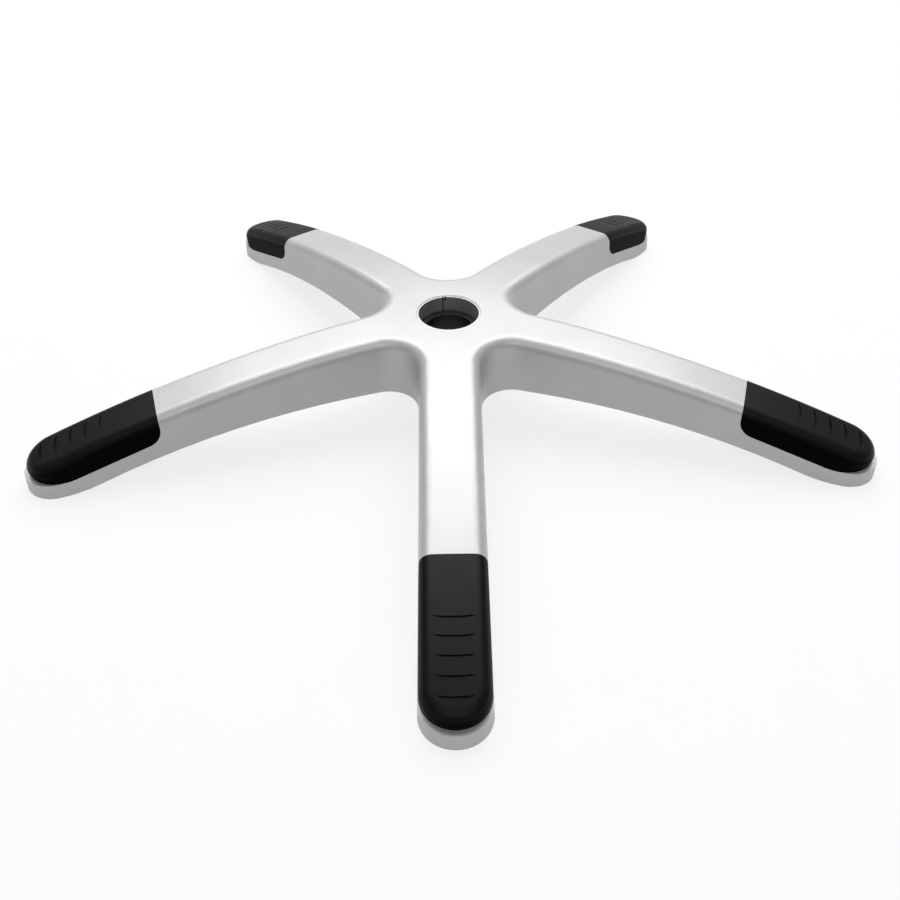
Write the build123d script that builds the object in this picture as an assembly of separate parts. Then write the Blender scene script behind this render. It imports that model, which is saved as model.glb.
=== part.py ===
from build123d import *
import math
import os

# Chair base: a die-cast five-arm star with a moulded foot pad screwed over the end of each arm.
# Millimetres. The column's axis is Z, the base stands on z = 0 and arm 1 points along -Y.

# Star
arm_count = 5
tip_reach = 352.0
tip_radius = 24.1
root_radius = 28.3
web_radius = 22.5
draft = 3.3
edge_round = 9.0
side_wall = 4.0
crown_wall = 5.0

# Crown line, the top of every arm: level at the hub, then two arcs that steepen to the tip
hub_height = 86.0
shoulder_bend = 664.0
shoulder_turn = 8.0
crown_bend = 1208.0

# Underside line: level under the hub, an arc that drops away and a blend into the flat foot
hub_underside = 38.6
underside_start = 85.0
foot_length = 22.0
foot_blend = 110.0

# Column bore and its liner
column_mouth_radius = 24.9
column_taper = 1.437
column_ledge_depth = 15.0
column_foot_radius = 19.7
liner_wall = 0.8
liner_ledge = 1.2
liner_gap = 0.05
slit_angle = 100.6
slit_width = 0.9
nick_angle = 95.5
nick_width = 1.2
nick_depth = 3.5
nick_lean = 18.0
liner_cut = 5.0
mouth_bevel = 1.0

# Hub boss and ribs
boss_radius = 28.5
boss_draft = 4.0
rib_thickness = 3.0
rib_recess = 4.0
rib_first = 104.0
rib_pitch = 40.0
rib_count = 4
roof_steps = 4

# Caster sockets, in the foot of each arm
socket_radius = 5.55
socket_depth = 22.5
socket_wall = 5.0

# Foot pads, with their places given as distances back from the arm's tip
pad_length = 109.0
pad_half_width = 22.2
pad_nose_back = 23.4
nose_ledge = 4.2
pad_skirt = 43.0
pad_side = 4.2
pad_top = 3.2
pad_gap = 0.15
foot_side_wall = 3.2
foot_crown_wall = 3.4
pad_line_root = 34.0
pad_line_tip = 12.9
pad_line_back = 34.4
pad_corner = 14.0
pad_bend_radius = 40.0
groove_count = 5
groove_back = 65.8
groove_pitch = 12.25
groove_half_span = 14.0
groove_narrowing = 0.5
groove_sag = 1.8
groove_width = 2.2
groove_depth = 1.0

# Pad screws, driven from below
screw_near_back = 89.0
screw_far_back = 49.0
screw_radius = 1.75
screw_thread = 5.0
screw_head_radius = 3.3
screw_head_height = 2.3
screw_bevel = 0.8
screw_play = 0.3
pillar_radius = 3.2
pillar_depth = 4.5
pillar_gap = 0.15
pillar_root = 1.6
screw_boss_radius = 6.5
screw_boss_height = 6.0

# Derived places
socket_reach = tip_reach - tip_radius
pad_start = tip_reach - pad_length
pad_nose = tip_reach - pad_nose_back
pad_line_bend = tip_reach - pad_line_back
groove_start = tip_reach - groove_back
screw_near = tip_reach - screw_near_back
screw_far = tip_reach - screw_far_back
arm_step = 360.0 / arm_count
liner_top = hub_height - mouth_bevel
ledge_height = hub_height - column_ledge_depth
hub_flat_radius = column_mouth_radius + liner_wall + liner_gap + 1.5 * mouth_bevel
foot_start = tip_reach - foot_length
over = 10.0


def turned(shape, index):
    """Copy of a shape made along +X, turned onto arm number index, counted from 0 at the front."""
    return Rot(0, 0, index * arm_step - 90) * shape


def spread(shape):
    """One copy of a shape made along +X on every arm."""
    return Compound([turned(shape, index) for index in range(arm_count)])


def spread_part(shape):
    """One copy of a shape made along +X on every arm, fused into one body."""
    return Part() + [turned(shape, index) for index in range(arm_count)]


def crown_arcs():
    """The two arcs of the crown line, as (distance, height) from the column's axis."""
    shoulder = JernArc((hub_flat_radius, hub_height), (1, 0), shoulder_bend, -shoulder_turn)
    start = (shoulder @ 1).X
    end_sine = math.sin(math.radians(shoulder_turn)) + (tip_reach - start) / crown_bend
    turn = math.degrees(math.asin(end_sine)) - shoulder_turn
    return shoulder, JernArc(shoulder @ 1, shoulder % 1, crown_bend, -turn)


def crown_centre():
    """Centre of the arc that the arm's crown follows, as (distance, height)."""
    turn = math.radians(shoulder_turn)
    start = crown_arcs()[1] @ 0
    return start.X - crown_bend * math.sin(turn), start.Y - crown_bend * math.cos(turn)


def crown_slope(reach):
    """Slope of the crown in degrees at a distance from the column's axis."""
    return math.degrees(math.asin((reach - crown_centre()[0]) / crown_bend))


def crown_height(reach):
    """Height of the crown at a distance from the column's axis."""
    return crown_centre()[1] + crown_bend * math.cos(math.radians(crown_slope(reach)))


def underside_arcs():
    """The two arcs of the underside line, as (distance, height) from the column's axis."""
    run = foot_start - underside_start
    turn = 2 * math.atan(hub_underside / run)
    drop_bend = run / math.sin(turn) - foot_blend
    drop = JernArc((underside_start, hub_underside), (1, 0), drop_bend, -math.degrees(turn))
    blend = JernArc(drop @ 1, drop % 1, foot_blend, math.degrees(turn))
    return drop, blend


def slab(crown, under):
    """Block across one arm along +X between a crown and an underside line."""
    reach = tip_reach + over
    top, low = crown[0] @ 0, under[0] @ 0
    high_end, low_end = crown[-1] @ 1, under[-1] @ 1
    outline = Curve() + [
        Line((0, top.Y), top),
        *crown,
        Line(high_end, (reach, high_end.Y)),
        Line((reach, high_end.Y), (reach, low_end.Y)),
        Line((reach, low_end.Y), low_end),
        *under,
        Line(low, (0, low.Y)),
        Line((0, low.Y), (0, top.Y)),
    ]
    return extrude(Plane.XZ * make_face(outline), amount=root_radius + over, both=True)


def in_steps(arcs, shift):
    """Straight-sided run through points on two arcs, moved up by shift, for faces out of sight."""
    points = [arcs[0] @ 0]
    for arc in arcs:
        points += [arc @ (index / roof_steps) for index in range(1, roof_steps + 1)]
    return [Polyline([(point.X, point.Y + shift) for point in points])]


def level(reach, height):
    """Level line at a height, out to a distance from the column's axis."""
    return [Line((reach / 2, height), (reach, height))]


def arm_plan(inset):
    """Outline of one arm along +X at floor level, moved in from the walls by inset."""
    root = root_radius - inset
    tip = tip_radius - inset
    side = math.acos((root_radius - tip_radius) / socket_reach)
    root_point = (root * math.cos(side), root * math.sin(side))
    tip_point = (socket_reach + tip * math.cos(side), tip * math.sin(side))
    other_root, other_tip = (root_point[0], -root_point[1]), (tip_point[0], -tip_point[1])
    outline = [
        Line(other_root, other_tip),
        ThreePointArc(other_tip, (socket_reach + tip, 0), tip_point),
        Line(tip_point, root_point),
        Line(root_point, other_root),
    ]
    return make_face(Curve() + outline)


def star_plan(inset):
    """Outline of the star at floor level, moved in from the walls by inset."""
    arms = [turned(arm_plan(inset), index) for index in range(arm_count)]
    star = Sketch() + [Circle(root_radius - inset)] + arms
    inner_corners = star.vertices().sort_by_distance((0, 0, 0))[:arm_count]
    return fillet(inner_corners, web_radius + inset)


def star_prism(inset):
    """Drafted star from below the floor to above the hub, moved in from the walls by inset."""
    below = over * math.tan(math.radians(draft))
    plan = Pos(0, 0, -over) * star_plan(inset - below)
    return extrude(plan, amount=hub_height + 2 * over, taper=draft)


def hub_disc(low, high):
    """Disc that closes the gaps between the arms' slabs at the hub."""
    radius = underside_start
    return Pos(0, 0, low) * Cylinder(
        radius, high - low, align=(Align.CENTER, Align.CENTER, Align.MIN)
    )


def crown_dome():
    """Round body under the crown line turned about the column's axis."""
    shoulder, crown = crown_arcs()
    reach = tip_reach + over
    end = crown @ 1
    outline = Curve() + [
        Line((0, hub_height), shoulder @ 0),
        shoulder,
        crown,
        Line(end, (reach, end.Y - over)),
        Line((reach, end.Y - over), (reach, -2 * over)),
        Line((reach, -2 * over), (0, -2 * over)),
        Line((0, -2 * over), (0, hub_height)),
    ]
    return revolve(Plane.XZ * make_face(outline), Axis.Z)


def star_block():
    """The star's outer form, with a crowned top and rounded shoulders."""
    block = star_prism(0) & crown_dome()
    crown = block.faces().filter_by(lambda face: face.normal_at().Z > 0.5)
    shoulder = crown.sort_by(SortBy.AREA)[-1].outer_wire().edges()
    block = fillet(shoulder, edge_round)
    high = hub_height + over
    arm = slab(level(tip_reach, high), underside_arcs())
    return block & (spread_part(arm) + hub_disc(hub_underside, high))


def star_core(side, top):
    """Plainer star inside the outer form, with square shoulders and an open base."""
    arm = slab(in_steps(crown_arcs(), -top), level(tip_reach, -over))
    return star_prism(side) & (spread_part(arm) + hub_disc(-over, hub_height - top))


def foot_core(side, top):
    """Inner form of one arm along +X for its pad, its end set back to leave a ledge at the nose."""
    below = over * math.tan(math.radians(draft))
    plan = Pos(0, 0, -over) * arm_plan(side - below)
    prism = extrude(plan, amount=hub_height + 2 * over, taper=draft)
    core = prism & slab(in_steps(crown_arcs(), -top), level(tip_reach, -over))
    return Pos(-nose_ledge, 0, 0) * core


def post(reach, radius, low, high):
    """Round upright post on an arm along +X, between two heights."""
    return Pos(reach, 0, low) * Cylinder(
        radius, high - low, align=(Align.CENTER, Align.CENTER, Align.MIN)
    )


def spin(points):
    """Solid of revolution about the column's axis, from (radius, height) points."""
    return revolve(Plane.XZ * make_face(Polyline(points, close=True)), Axis.Z)


def mouth_radius(height, offset):
    """Radius of the tapered column bore at a height, moved out by offset."""
    depth = hub_height - height
    return column_mouth_radius - depth * math.tan(math.radians(column_taper)) + offset


def column_cut(offset, ledge_drop):
    """Stepped space inside the hub: a bevelled and tapered mouth, a ledge and a foot bore."""
    ledge = ledge_height - ledge_drop
    top = hub_height + over
    return spin(
        [
            (0, hub_underside - over),
            (column_foot_radius + offset, hub_underside - over),
            (column_foot_radius + offset, ledge),
            (mouth_radius(ledge, offset), ledge),
            (mouth_radius(liner_top, offset), liner_top),
            (mouth_radius(liner_top, offset + mouth_bevel), hub_height),
            (mouth_radius(liner_top, offset + mouth_bevel), top),
            (0, top),
        ]
    )


def pad_zone(gap):
    """Space over the end of an arm along +X that the foot pad takes up, widened by gap."""
    start = pad_start - gap
    reach = tip_reach + over
    corner = (start, pad_line_root - gap)
    bend = (pad_line_bend, pad_line_tip - gap)
    outline = Polyline(
        (start, hub_height), corner, bend, (reach, bend[1]), (reach, hub_height), close=True
    )
    profile = make_face(outline)
    profile = fillet(profile.vertices().sort_by_distance((*corner, 0))[0], pad_corner)
    profile = fillet(profile.vertices().sort_by_distance((*bend, 0))[0], pad_bend_radius)
    return extrude(Plane.XZ * profile, amount=root_radius, both=True)


def screw_seat(reach):
    """Height of the ledge that a pad's pillar stands on."""
    return crown_height(reach) - pad_top - pad_gap - pillar_depth


def screw_face(reach):
    """Height of the boss's lower face, which the screw's head bears on."""
    return screw_seat(reach) - screw_boss_height


def upright(reach, length, thickness):
    """Upright wall on an arm along +X, centred at a distance from the column's axis."""
    height = hub_height + over
    return Pos(reach, 0, height / 2) * Box(length, thickness, height)


def ribs():
    """Centre rib, cross ribs and hub web of one arm along +X, and the brace in its foot."""
    webs = upright(socket_reach / 2, socket_reach, rib_thickness)
    webs += upright(socket_reach, 2 * tip_radius, rib_thickness)
    webs += upright(socket_reach, rib_thickness, 2 * tip_radius)
    for index in range(rib_count):
        webs += upright(rib_first + index * rib_pitch, rib_thickness, 2 * root_radius)
    webs += Rot(0, 0, arm_step / 2) * upright(web_radius + boss_radius, 2 * web_radius, rib_thickness)
    for reach in (screw_near, screw_far):
        webs -= post(reach, screw_boss_radius, -over, screw_face(reach))
    return webs


def rib_space():
    """Space that ribs may fill, from above the hub down to a little above the walls' edge."""
    arm = slab(level(tip_reach, hub_height), in_steps(underside_arcs(), rib_recess))
    return spread_part(arm) + hub_disc(hub_underside + rib_recess, hub_height)


def bosses():
    """Caster socket boss and screw bosses in one arm along +X."""
    socket = post(socket_reach, socket_radius + socket_wall, 0, hub_height)
    near = post(screw_near, screw_boss_radius, screw_face(screw_near), hub_height)
    far = post(screw_far, screw_boss_radius, screw_face(screw_far), hub_height)
    return socket + near + far


def hub_boss():
    """Drafted boss round the column bore."""
    base = Pos(0, 0, hub_underside) * Circle(boss_radius)
    return extrude(base, amount=hub_height - hub_underside, taper=-boss_draft)


def hollow():
    """Space under the star, open downwards, less its ribs and bosses."""
    arm = star_core(side_wall, crown_wall) & post(0, pad_start - side_wall, -over, hub_height)
    foot_side = pad_side + pad_gap + foot_side_wall
    foot_top = pad_top + pad_gap + foot_crown_wall
    space = arm + spread(foot_core(foot_side, foot_top))
    return space - (spread(ribs()) & rib_space()) - hub_boss() - spread(bosses())


def fixing_cuts():
    """Pillar recesses, screw holes and caster socket of one arm along +X."""
    cut = post(socket_reach, socket_radius, -over, socket_depth)
    for reach in (screw_near, screw_far):
        seat = screw_seat(reach)
        cut += post(reach, pillar_radius + pillar_gap, seat, hub_height)
        cut += post(reach, screw_radius + screw_play, screw_face(reach) - over, seat)
    return cut


def star_base():
    """The casting: five hollow ribbed arms round the hub, stepped down under the pads."""
    seat = pad_zone(pad_gap) - foot_core(pad_side + pad_gap, pad_top + pad_gap)
    body = star_block() - spread(seat) - hollow()
    return body - column_cut(liner_wall + liner_gap, liner_ledge) - spread(fixing_cuts())


def column_sleeve():
    """Rolled steel liner of the column bore, split and nicked at the back of its mouth."""
    ledge = ledge_height - liner_ledge
    shell = spin(
        [
            (column_foot_radius, hub_underside),
            (column_foot_radius + liner_wall, hub_underside),
            (column_foot_radius + liner_wall, ledge),
            (mouth_radius(ledge, liner_wall), ledge),
            (mouth_radius(liner_top, liner_wall), liner_top),
            (mouth_radius(liner_top, 0), liner_top),
            (mouth_radius(ledge_height, 0), ledge_height),
            (column_foot_radius, ledge_height),
        ]
    )
    reach = column_mouth_radius
    slit_height = column_ledge_depth + over
    slit = Pos(reach, 0, ledge_height + slit_height / 2) * Box(liner_cut, slit_width, slit_height)
    nick = Pos(reach, 0, liner_top) * Rot(nick_lean, 0, 0) * Box(liner_cut, nick_width, 2 * nick_depth)
    return shell - Rot(0, 0, slit_angle) * slit - Rot(0, 0, nick_angle) * nick


def pad_section(other_side):
    """Half or whole cross-section of the pad's outer form, at the top of the crown's arc."""
    reach, height = crown_centre()
    top = height + crown_bend
    foot = pad_half_width + pad_skirt * math.tan(math.radians(draft))
    outline = Polyline(
        (-pad_half_width, top),
        (other_side * pad_half_width, top),
        (other_side * foot, top - pad_skirt),
        (-foot, top - pad_skirt),
        close=True,
    )
    face = make_face(outline)
    corners = face.vertices().filter_by(lambda corner: corner.Y > top - 1 and abs(corner.X) > 1)
    return Plane.YZ.offset(reach) * fillet(corners, edge_round)


def pad_form():
    """Outer form of the pad on +X: its section carried along the crown, then round the nose."""
    reach, height = crown_centre()
    bend = Axis((reach, 0, height), (0, 1, 0))
    start = crown_slope(pad_start - over)
    end = crown_slope(pad_nose)
    bar = revolve(pad_section(1).rotate(bend, start), bend, end - start)
    lean = math.radians(end)
    nose = Axis((reach, 0, height), (math.sin(lean), 0, math.cos(lean)))
    cap = revolve(pad_section(0).rotate(bend, end), nose, 180)
    return bar + cap


def grooves():
    """Crescent grip grooves across the top of the pad on an arm along +X, shorter to the nose."""
    reach, height = crown_centre()
    floor = crown_bend - groove_depth
    below = Pos(reach, 0, height) * Rot(90, 0, 0) * Cylinder(floor, 2 * (root_radius + over))
    cuts = Part()
    for index in range(groove_count):
        middle = groove_start + index * groove_pitch
        span = groove_half_span - index * groove_narrowing
        left, right = (middle - groove_sag, -span), (middle - groove_sag, span)
        outer = ThreePointArc(left, (middle + groove_width / 2, 0), right)
        inner = ThreePointArc(right, (middle - groove_width / 2, 0), left)
        cuts += extrude(make_face(Curve() + [outer, inner]), amount=hub_height)
    return cuts - below


def foot_pad():
    """Moulded pad over the end of an arm along +X, with its grip grooves and screw pillars."""
    shell = (pad_form() & pad_zone(0)) - foot_core(pad_side, pad_top) - grooves()
    for reach in (screw_near, screw_far):
        seat = screw_seat(reach)
        shell += post(reach, pillar_radius, seat, crown_height(reach) - pillar_root)
        shell -= post(reach, screw_radius, seat, seat + screw_thread)
    return shell


def pad_screw(reach):
    """Pan-head screw under an arm along +X, up through its boss into the pad's pillar."""
    face = screw_face(reach)
    head = post(reach, screw_head_radius, face - screw_head_height, face)
    head = chamfer(head.edges().group_by(Axis.Z)[0], screw_bevel)
    return head + post(reach, screw_radius, face, screw_seat(reach) + screw_thread)


def main():
    os.makedirs("parts", exist_ok=True)
    export_step(star_base(), "parts/star_base.step")
    export_step(column_sleeve(), "parts/column_sleeve.step")
    pad = foot_pad()
    near = pad_screw(screw_near)
    far = pad_screw(screw_far)
    for index in range(arm_count):
        number = index + 1
        export_step(turned(pad, index), f"parts/foot_pad_{number}.step")
        export_step(turned(near, index), f"parts/pad_screw_inner_{number}.step")
        export_step(turned(far, index), f"parts/pad_screw_outer_{number}.step")


main()
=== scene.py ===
import math

import bpy
import numpy as np
from mathutils import Matrix, Vector


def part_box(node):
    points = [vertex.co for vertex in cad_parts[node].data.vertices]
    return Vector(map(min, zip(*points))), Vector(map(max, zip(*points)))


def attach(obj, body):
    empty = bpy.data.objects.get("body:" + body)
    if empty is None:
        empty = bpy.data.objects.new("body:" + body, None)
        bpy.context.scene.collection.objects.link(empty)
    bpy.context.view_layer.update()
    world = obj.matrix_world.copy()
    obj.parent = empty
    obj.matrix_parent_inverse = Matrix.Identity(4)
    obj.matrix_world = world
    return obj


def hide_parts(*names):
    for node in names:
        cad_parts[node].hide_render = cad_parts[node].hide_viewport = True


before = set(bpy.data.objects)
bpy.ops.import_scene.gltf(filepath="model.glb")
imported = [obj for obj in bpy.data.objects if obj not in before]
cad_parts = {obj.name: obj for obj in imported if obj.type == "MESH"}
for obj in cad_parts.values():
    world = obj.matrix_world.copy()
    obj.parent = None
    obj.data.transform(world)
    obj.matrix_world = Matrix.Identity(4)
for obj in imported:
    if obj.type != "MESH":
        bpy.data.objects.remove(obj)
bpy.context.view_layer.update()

# A five-star chair base in satin silver, with black grooved pads over its arm ends.
# Metres. The hub's axis is Z, the floor is z = 0 and the front arm points along -Y.

MM = 0.001
ARM_COUNT = 5

# Viewing angle, solved from the outlines of the hub's mouth, the pads and the arm ends
VIEW_DISTANCE = 0.89012
VIEW_ELEVATION = 40.391
VIEW_TURN = 0.194
VIEW_ROLL = -0.749
VIEW_TARGET = Vector((-0.00039, 0.0, -0.06262))
FOCAL_PX = 968.48
IMAGE_PX = 900
SENSOR_MM = 36.0

# Screws, of the size of the model's own solids, in millimetres
SCREW_ROWS = ("inner", "outer")
HEAD_RADIUS = 3.3
HEAD_HEIGHT = 2.3
CORE_RADIUS = 1.35
THREAD_RADIUS = 1.75
THREAD_PITCH = 1.25
TIP_LENGTH = 1.0
TIP_STEP = 0.1
TIP_SHARE = 0.95

# Pan head: how flat its dome is beside a half ball, how near to the ball's edge it goes, and
# the depths of its rim's rows as shares of the head's height
DOME_SHARE = 0.55
DOME_SPAN = 0.98
RIM_ROWS = (0.7, 0.97, 1.0)

# Thread: where it starts and is full below the head, and how sharp its crests are
THREAD_START = 0.2
THREAD_FULL = 0.9
THREAD_SHARPNESS = 1.5

# Cross recess: its slanting walls and ends, its level middle, and how much the floor rises
# outwards from there
RECESS_DEPTH = 1.3
RECESS_ARM = 1.9
RECESS_HALF_WIDTH = 0.42
RECESS_WALL = 0.15
RECESS_END = 0.3
RECESS_MIDDLE = 0.3
RECESS_RISE = 0.35

# Steps of a screw's mesh round its axis, over its dome, along its shank and at its tip
TURN_STEPS = 96
DOME_STEPS = 26
SHANK_STEPS = 90
TIP_STEPS = 6

# Sleeve in the column's socket: painted black as shade up to one height, grey from the next,
# and with a painted highlight on its top edge
SLEEVE_SHADE_TO = 70.5 * MM
SLEEVE_GREY_FROM = 73.5 * MM
SLEEVE_HIGHLIGHT_FROM = 84.9 * MM

# Radii just past the casting's bore (painted shade inside it) and its bevel (painted highlight)
BORE_RADIUS = 25.8 * MM
BEVEL_RADIUS = 26.8 * MM

# Studio card: half its width, its corners, and how much brighter it is to the eye than its
# own shade
CARD_HALF = 30.0
CARD_CORNERS = ((-1, -1), (1, -1), (1, 1), (-1, 1))
CARD_LIFT = 0.8

# Softboxes: name, place, aim, width, depth and radiance
SOFTBOXES = (
    ("softbox_over", (0.0, 1.0, 1.75), (0.0, 0.1, 0.0), 2.6, 1.9, 2.8),
    ("softbox_front", (0.0, -1.9, 1.7), (0.0, 0.0, 0.0), 1.8, 0.9, 1.5),
)


def srgb(code):
    """Linear colour of an sRGB hex code: each channel undone from the sRGB curve."""
    channels = [int(code[place : place + 2], 16) / 255 for place in (1, 3, 5)]
    line = [c / 12.92 if c <= 0.04045 else ((c + 0.055) / 1.055) ** 2.4 for c in channels]
    return (*line, 1.0)


def add(tree, kind, settings, links):
    """Adds a node: settings hold its properties and socket values, links its incoming sockets."""
    node = tree.nodes.new(kind)
    for key, value in settings.items():
        if key in node.inputs.keys() or isinstance(key, int):
            node.inputs[key].default_value = value
        else:
            setattr(node, key, value)
    for key, source in links.items():
        tree.links.new(source, node.inputs[key])
    return node.outputs


def new_material(name):
    """Empty node material: returns it with its tree and its Object coordinates."""
    material = bpy.data.materials.new(name)
    material.use_nodes = True
    tree = material.node_tree
    tree.nodes.clear()
    return material, tree, add(tree, "ShaderNodeTexCoord", {}, {})["Object"]


def per_mm(size):
    """Noise scale whose blotches are about this many millimetres across."""
    return 1 / (size * MM)


# A Mix node has one pair of sockets for numbers and another for colours
NUMBER_A, NUMBER_B, NUMBER_OUT = 2, 3, 0
COLOUR_A, COLOUR_B, COLOUR_OUT = 6, 7, 2
# Noise seldom leaves this range, so it is what gets stretched
STRETCH = {"From Min": 0.3, "From Max": 0.7}


def silver_paint():
    """Satin silver paint on die-cast aluminium, sprayed outside and as cast below.

    To the eye: a soft metal sheen with a very fine orange peel, and a coarser, duller skin
    on every face that looks down.
    """
    material, tree, place = new_material("satin_silver_paint")
    facing = add(tree, "ShaderNodeNewGeometry", {}, {})["Normal"]
    height = add(tree, "ShaderNodeSeparateXYZ", {}, {"Vector": facing})["Z"]
    reach = {"From Min": -0.75, "From Max": -0.35, "To Min": 1.0, "To Max": 0.0}
    below = add(tree, "ShaderNodeMapRange", reach, {"Value": height})["Result"]

    # Clouds of 35 mm where the spray varies, and flakes of 0.5 mm, drawn coarse enough to show
    spray = {"Scale": per_mm(35.0), "Detail": 2.0}
    clouds = add(tree, "ShaderNodeTexNoise", spray, {"Vector": place})["Fac"]
    clouds = add(tree, "ShaderNodeMapRange", STRETCH, {"Value": clouds})["Result"]
    tones = {"data_type": "RGBA", COLOUR_A: srgb("#DBDBDC"), COLOUR_B: srgb("#E0E0E1")}
    coat = add(tree, "ShaderNodeMix", tones, {"Factor": clouds})[COLOUR_OUT]
    bare = {"data_type": "RGBA", COLOUR_B: srgb("#ABABAC")}
    coat = add(tree, "ShaderNodeMix", bare, {"Factor": below, COLOUR_A: coat})[COLOUR_OUT]

    # Painted highlight on the bore's bevel, and painted shade on the metal behind the sleeve
    level = {"operation": "MULTIPLY", 1: (1.0, 1.0, 0.0)}
    flat = add(tree, "ShaderNodeVectorMath", level, {0: place})["Vector"]
    radius = add(tree, "ShaderNodeVectorMath", {"operation": "LENGTH"}, {0: flat})["Value"]
    colour = coat
    for limit, tone in ((BEVEL_RADIUS, "#FFFFFF"), (BORE_RADIUS, "#1C1C1E")):
        within = {"operation": "LESS_THAN", 1: limit}
        painted_light_mask = add(tree, "ShaderNodeMath", within, {0: radius})["Value"]
        cut = {"data_type": "RGBA", COLOUR_B: srgb(tone)}
        links = {"Factor": painted_light_mask, COLOUR_A: colour}
        colour = add(tree, "ShaderNodeMix", cut, links)[COLOUR_OUT]

    flake = {"Scale": per_mm(0.5), "Detail": 2.0}
    flakes = add(tree, "ShaderNodeTexNoise", flake, {"Vector": place})["Fac"]
    sheen = {**STRETCH, "To Min": 0.38, "To Max": 0.44}
    shine = add(tree, "ShaderNodeMapRange", sheen, {"Value": flakes})["Result"]
    rough = add(tree, "ShaderNodeMix", {NUMBER_B: 0.6}, {"Factor": below, NUMBER_A: shine})

    # Orange peel of 2.2 mm outside, cast grain of 0.9 mm below
    wave = {"Scale": per_mm(2.2), "Detail": 1.0}
    peel = add(tree, "ShaderNodeTexNoise", wave, {"Vector": place})["Fac"]
    sand = {"Scale": per_mm(0.9), "Detail": 4.0, "Roughness": 0.6}
    grain = add(tree, "ShaderNodeTexNoise", sand, {"Vector": place})["Fac"]
    relief = add(tree, "ShaderNodeMix", {}, {"Factor": below, NUMBER_A: peel, NUMBER_B: grain})
    depth = {"Strength": 0.12, "Distance": 0.2 * MM}
    bump = add(tree, "ShaderNodeBump", depth, {"Height": relief[NUMBER_OUT]})["Normal"]

    ports = {"Base Color": colour, "Roughness": rough[NUMBER_OUT], "Normal": bump}
    shader = add(tree, "ShaderNodeBsdfPrincipled", {"Metallic": 0.3}, ports)["BSDF"]
    add(tree, "ShaderNodeOutputMaterial", {}, {"Surface": shader})
    return material


def black_plastic():
    """Black polypropylene, moulded in a spark-eroded cavity.

    To the eye: a deep, even black with a fine matte grain that only shows as a soft haze.
    """
    material, tree, place = new_material("black_grained_plastic")
    flow = {"Scale": per_mm(14.0), "Detail": 2.0}
    clouds = add(tree, "ShaderNodeTexNoise", flow, {"Vector": place})["Fac"]
    clouds = add(tree, "ShaderNodeMapRange", STRETCH, {"Value": clouds})["Result"]
    tones = {"data_type": "RGBA", COLOUR_A: srgb("#040404"), COLOUR_B: srgb("#070707")}
    colour = add(tree, "ShaderNodeMix", tones, {"Factor": clouds})[COLOUR_OUT]

    # Spark-eroded grain of 0.7 mm, drawn coarse enough to show
    spark = {"Scale": per_mm(0.7), "Detail": 3.0, "Roughness": 0.6}
    grain = add(tree, "ShaderNodeTexNoise", spark, {"Vector": place})["Fac"]
    matt = {**STRETCH, "To Min": 0.4, "To Max": 0.5}
    rough = add(tree, "ShaderNodeMapRange", matt, {"Value": grain})["Result"]
    depth = {"Strength": 0.25, "Distance": 0.1 * MM}
    bump = add(tree, "ShaderNodeBump", depth, {"Height": grain})["Normal"]

    # Steep walls are duller than the top, because the grain drags as the mould draws off them
    facing = add(tree, "ShaderNodeNewGeometry", {}, {})["Normal"]
    height = add(tree, "ShaderNodeSeparateXYZ", {}, {"Vector": facing})["Z"]
    drag = {"From Min": 0.2, "From Max": 0.9, "To Min": 0.02, "To Max": 0.28}
    gloss = add(tree, "ShaderNodeMapRange", drag, {"Value": height})["Result"]

    ports = {"Base Color": colour, "Roughness": rough, "Normal": bump}
    ports["Specular IOR Level"] = gloss
    shader = add(tree, "ShaderNodeBsdfPrincipled", {"IOR": 1.49}, ports)["BSDF"]
    add(tree, "ShaderNodeOutputMaterial", {}, {"Surface": shader})
    return material


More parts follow.
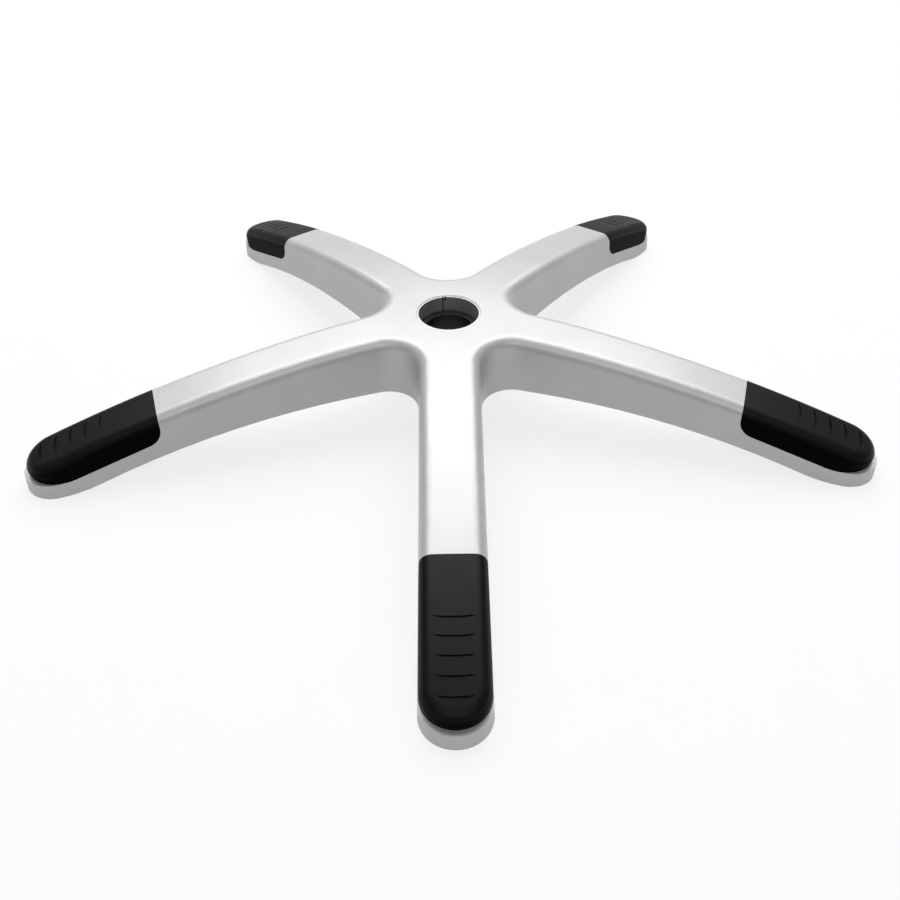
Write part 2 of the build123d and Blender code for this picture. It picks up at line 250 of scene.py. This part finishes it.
def dark_steel():
    """Phosphated steel sleeve, turned inside.

    To the eye: dark grey and matt, with fine rings round the bore. Painted shade leaves it
    lighter in its mouth and black deeper down, and its top edge has a painted highlight.
    """
    material, tree, place = new_material("phosphated_turned_steel")
    # Tool rings 0.4 mm apart: the noise is stretched round the bore and kept fine along it
    squeeze = {"Scale": (0.04, 0.04, 1.0)}
    lengthwise = add(tree, "ShaderNodeMapping", squeeze, {"Vector": place})["Vector"]
    cut = {"Scale": per_mm(0.4), "Detail": 3.0}
    rings = add(tree, "ShaderNodeTexNoise", cut, {"Vector": lengthwise})["Fac"]
    film = {"Scale": per_mm(9.0), "Detail": 3.0}
    stains = add(tree, "ShaderNodeTexNoise", film, {"Vector": place})["Fac"]
    stains = add(tree, "ShaderNodeMapRange", STRETCH, {"Value": stains})["Result"]
    tones = {"data_type": "RGBA", COLOUR_A: srgb("#969698"), COLOUR_B: srgb("#A0A0A2")}
    stained_grey = add(tree, "ShaderNodeMix", tones, {"Factor": stains})[COLOUR_OUT]
    # Painted shade: the mouth's wall is grey, darker towards the ledge and black below it
    height = add(tree, "ShaderNodeSeparateXYZ", {}, {"Vector": place})["Z"]
    painted_shade_ramp = {"From Min": SLEEVE_SHADE_TO, "From Max": SLEEVE_GREY_FROM}
    out_of_shade = add(tree, "ShaderNodeMapRange", painted_shade_ramp, {"Value": height})["Result"]
    black = {"data_type": "RGBA", COLOUR_A: srgb("#1C1C1E")}
    colour = add(tree, "ShaderNodeMix", black, {"Factor": out_of_shade, COLOUR_B: stained_grey})[COLOUR_OUT]
    # Painted highlight: its top edge is painted near white, like the casting's bevel
    over = {"operation": "GREATER_THAN", 1: SLEEVE_HIGHLIGHT_FROM}
    highlight_mask = add(tree, "ShaderNodeMath", over, {0: height})["Value"]
    highlight_tone = {"data_type": "RGBA", COLOUR_B: srgb("#F4F4F4")}
    colour = add(tree, "ShaderNodeMix", highlight_tone, {"Factor": highlight_mask, COLOUR_A: colour})[COLOUR_OUT]
    oil = {**STRETCH, "To Min": 0.3, "To Max": 0.45}
    rough = add(tree, "ShaderNodeMapRange", oil, {"Value": rings})["Result"]
    depth = {"Strength": 0.2, "Distance": 0.1 * MM}
    bump = add(tree, "ShaderNodeBump", depth, {"Height": rings})["Normal"]
    ports = {"Base Color": colour, "Roughness": rough, "Normal": bump}
    shader = add(tree, "ShaderNodeBsdfPrincipled", {"Metallic": 0.3}, ports)["BSDF"]
    add(tree, "ShaderNodeOutputMaterial", {}, {"Surface": shader})
    return material


def zinc_plate():
    """Bright zinc plating on steel screws.

    To the eye: pale blue-grey metal, slightly cloudy.
    """
    material, tree, place = new_material("zinc_plated_steel")
    # Crystals of 1.2 mm that cloud the plating
    bloom = {"Scale": per_mm(1.2), "Detail": 3.0}
    clouds = add(tree, "ShaderNodeTexNoise", bloom, {"Vector": place})["Fac"]
    clouds = add(tree, "ShaderNodeMapRange", STRETCH, {"Value": clouds})["Result"]
    tones = {"data_type": "RGBA", COLOUR_A: srgb("#A9AEB4"), COLOUR_B: srgb("#BCC0C4")}
    colour = add(tree, "ShaderNodeMix", tones, {"Factor": clouds})[COLOUR_OUT]
    veil = {"To Min": 0.24, "To Max": 0.38}
    rough = add(tree, "ShaderNodeMapRange", veil, {"Value": clouds})["Result"]
    ports = {"Base Color": colour, "Roughness": rough}
    shader = add(tree, "ShaderNodeBsdfPrincipled", {"Metallic": 1.0}, ports)["BSDF"]
    add(tree, "ShaderNodeOutputMaterial", {}, {"Surface": shader})
    return material


def studio_card():
    """White matt card: it keeps soft shadows, and a lift on what is seen makes it white.

    The lift is added for camera, glossy and transmission rays alone, so it adds no light to
    matt surfaces.
    """
    material, tree, place = new_material("white_studio_card")
    pulp = {"Scale": per_mm(40.0), "Detail": 2.0}
    fibres = add(tree, "ShaderNodeTexNoise", pulp, {"Vector": place})["Fac"]
    tones = {"data_type": "RGBA", COLOUR_A: srgb("#7C7C7C"), COLOUR_B: srgb("#7F7F7F")}
    colour = add(tree, "ShaderNodeMix", tones, {"Factor": fibres})[COLOUR_OUT]
    card = add(tree, "ShaderNodeBsdfDiffuse", {}, {"Color": colour})["BSDF"]
    rays = add(tree, "ShaderNodeLightPath", {}, {})
    larger = {"operation": "MAXIMUM"}
    mirrored = {0: rays["Is Glossy Ray"], 1: rays["Is Transmission Ray"]}
    seen = add(tree, "ShaderNodeMath", larger, mirrored)["Value"]
    seen = add(tree, "ShaderNodeMath", larger, {0: seen, 1: rays["Is Camera Ray"]})["Value"]
    raise_by = {"operation": "MULTIPLY", 1: CARD_LIFT}
    lift = add(tree, "ShaderNodeMath", raise_by, {0: seen})["Value"]
    glow = add(tree, "ShaderNodeEmission", {}, {"Strength": lift})["Emission"]
    both = add(tree, "ShaderNodeAddShader", {}, {0: card, 1: glow})["Shader"]
    add(tree, "ShaderNodeOutputMaterial", {}, {"Surface": both})
    return material


def mesh_from_grid(name, grid):
    """Mesh of a grid of points that runs round in its second parameter.

    grid[i, j] is a point. Quads join (i, j), (i, j+1), (i+1, j+1) and (i+1, j), with j taken
    round, and the first and last rows shrink to one point each, so the surface is closed.
    """
    rows, columns = grid.shape[:2]
    inner = grid[1:-1].reshape(-1, 3)
    points = np.vstack([grid[0, :1], inner, grid[-1, :1]])
    j = np.arange(columns)
    k = (j + 1) % columns
    first = np.stack([np.zeros_like(j), 1 + k, 1 + j], 1)
    last = len(points) - 1
    base = 1 + (rows - 3) * columns
    final = np.stack([np.full_like(j, last), base + j, base + k], 1)
    i = np.arange(rows - 3)[:, None] * columns + 1
    quads = np.stack([i + j, i + k, i + columns + k, i + columns + j], -1).reshape(-1, 4)
    mesh = bpy.data.meshes.new(name)
    faces = [*first.tolist(), *quads.tolist(), *final.tolist()]
    mesh.from_pydata(points.tolist(), [], faces)
    mesh.polygons.foreach_set("use_smooth", np.ones(len(mesh.polygons), bool))
    mesh.update()
    piece = bpy.data.objects.new(name, mesh)
    bpy.context.scene.collection.objects.link(piece)
    return piece


def smooth_step(value, low, high):
    """Rises smoothly from 0 at low to 1 at high."""
    t = np.clip((value - low) / (high - low), 0.0, 1.0)
    return t * t * (3 - 2 * t)


def screw_surface(low, length):
    """Pan-head screw with a cross recess and a rolled thread, pointing up, in millimetres.

    Rows run from the middle of the recess over the head, down to its bearing face and up the
    shank to the tip. The head is a flattened arc. The recess is cut where the distance to
    either arm of the cross is under its half width. On the shank the radius rises by a
    triangle wave of (height / pitch - angle / full turn).
    """
    full_turn = 2 * math.pi
    turn = np.linspace(0, full_turn, TURN_STEPS, endpoint=False)
    face, end = low + HEAD_HEIGHT, low + length

    # Radius and height of each row: the head, the shank and the tip
    arc = np.sin(np.linspace(0, 1, DOME_STEPS) * math.pi / 2)
    dome = DOME_SHARE * (1 - np.sqrt(1 - (DOME_SPAN * arc) ** 2))
    head_r = HEAD_RADIUS * np.concatenate([arc, np.ones(len(RIM_ROWS))])
    head_z = low + HEAD_HEIGHT * np.concatenate([dome, RIM_ROWS])
    shank_r = np.full(SHANK_STEPS, CORE_RADIUS)
    shank_z = np.linspace(face, end - TIP_LENGTH, SHANK_STEPS)
    tip_r = CORE_RADIUS * np.linspace(TIP_SHARE, 0.0, TIP_STEPS)
    tip_z = np.linspace(end - TIP_LENGTH + TIP_STEP, end, TIP_STEPS)
    radius = np.concatenate([head_r, shank_r, tip_r])[:, None]
    height = np.concatenate([head_z, shank_z, tip_z])[:, None] + 0 * turn

    # Thread, swelling the shank's rows from just below the head
    wave = np.abs(((shank_z[:, None] / THREAD_PITCH - turn / full_turn) % 1.0) * 2 - 1)
    start = smooth_step(shank_z, face + THREAD_START, face + THREAD_FULL)[:, None]
    swell = np.zeros_like(height)
    shank = slice(len(head_r), len(head_r) + SHANK_STEPS)
    swell[shank] = (THREAD_RADIUS - CORE_RADIUS) * wave**THREAD_SHARPNESS * start
    x = (radius + swell) * np.cos(turn)
    y = (radius + swell) * np.sin(turn)

    # Cross recess, in the dome's rows alone
    along = np.maximum(np.abs(x), np.abs(y))
    across = np.minimum(np.abs(x), np.abs(y))
    cross = smooth_step(-across, -RECESS_HALF_WIDTH - RECESS_WALL, -RECESS_HALF_WIDTH)
    cross *= smooth_step(-along, -RECESS_ARM - RECESS_END, -RECESS_ARM + RECESS_END)
    cross *= 1 - RECESS_RISE * smooth_step(along, RECESS_MIDDLE, RECESS_ARM)
    cross[DOME_STEPS:] = 0.0
    return np.stack([x, y, height + RECESS_DEPTH * cross], -1)


def dress_screws(material):
    """Puts a detailed screw in the place of every plain one."""
    for row in SCREW_ROWS:
        for number in range(1, ARM_COUNT + 1):
            node = f"pad_screw_{row}_{number}"
            low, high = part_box(node)
            grid = screw_surface(low.z / MM, (high.z - low.z) / MM)
            grid[..., 0] += (low.x + high.x) / 2 / MM
            grid[..., 1] += (low.y + high.y) / 2 / MM
            piece = mesh_from_grid(f"threaded_{node}", grid * MM)
            piece.data.materials.append(material)
            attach(piece, "root")
            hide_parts(node)


def dress_nodes():
    """Gives every solid that stays in view its own finish."""
    silver, black, steel = silver_paint(), black_plastic(), dark_steel()
    finishes = {"star_base": silver, "column_sleeve": steel}
    for number in range(1, ARM_COUNT + 1):
        finishes[f"foot_pad_{number}"] = black
    for node, material in finishes.items():
        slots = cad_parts[node].data.materials
        slots.clear()
        slots.append(material)


def build_camera():
    """Camera on a sphere round the target, looking in along its elevation, rolled and turned."""
    elevation, roll = math.radians(VIEW_ELEVATION), math.radians(VIEW_ROLL)
    back = Vector((0.0, -math.cos(elevation), math.sin(elevation)))
    right = Vector((1.0, 0.0, 0.0))
    up = right.cross(-back)
    across = right * math.cos(roll) + up * math.sin(roll)
    rise = -right * math.sin(roll) + up * math.cos(roll)
    place = VIEW_TARGET + VIEW_DISTANCE * back
    axes = Matrix((across, rise, back)).transposed().to_4x4()
    turned = Matrix.Rotation(math.radians(-VIEW_TURN), 4, "Z")
    lens = bpy.data.cameras.new("photo_view")
    lens.sensor_width = SENSOR_MM
    lens.lens = FOCAL_PX * SENSOR_MM / IMAGE_PX
    lens.clip_end = 100.0
    camera = bpy.data.objects.new("photo_view", lens)
    camera.matrix_world = turned @ Matrix.Translation(place) @ axes
    bpy.context.scene.collection.objects.link(camera)
    bpy.context.scene.camera = camera


def softbox(name, place, aim, width, depth, radiance):
    """Rectangular lamp that shines from place towards aim, at a given brightness of its face."""
    lamp = bpy.data.lights.new(name, "AREA")
    lamp.shape = "RECTANGLE"
    lamp.size, lamp.size_y = width, depth
    lamp.energy = radiance * math.pi * width * depth
    box = bpy.data.objects.new(name, lamp)
    toward = (Vector(aim) - Vector(place)).to_track_quat("-Z", "Y")
    box.matrix_world = Matrix.Translation(place) @ toward.to_matrix().to_4x4()
    bpy.context.scene.collection.objects.link(box)


def build_studio():
    """White card under the base, a wide softbox overhead, a small one in front, a dim room."""
    mesh = bpy.data.meshes.new("studio_card")
    corners = [(x * CARD_HALF, y * CARD_HALF, 0.0) for x, y in CARD_CORNERS]
    mesh.from_pydata(corners, [], [(0, 1, 2, 3)])
    mesh.materials.append(studio_card())
    card = bpy.data.objects.new("studio_card", mesh)
    bpy.context.scene.collection.objects.link(card)

    for row in SOFTBOXES:
        softbox(*row)

    world = bpy.data.worlds.new("studio_room")
    bpy.context.scene.world = world
    world.use_nodes = True
    tree = world.node_tree
    # The room is seen white past the card, and lights the base as a dim grey
    seen = add(tree, "ShaderNodeLightPath", {}, {})["Is Camera Ray"]
    shades = {"data_type": "RGBA", COLOUR_A: srgb("#818181"), COLOUR_B: srgb("#FFFFFF")}
    shade = add(tree, "ShaderNodeMix", shades, {"Factor": seen})[COLOUR_OUT]
    tree.links.new(shade, tree.nodes["Background"].inputs["Color"])


dress_nodes()
dress_screws(zinc_plate())
build_camera()
build_studio()
bpy.context.scene.view_settings.view_transform = "Standard"
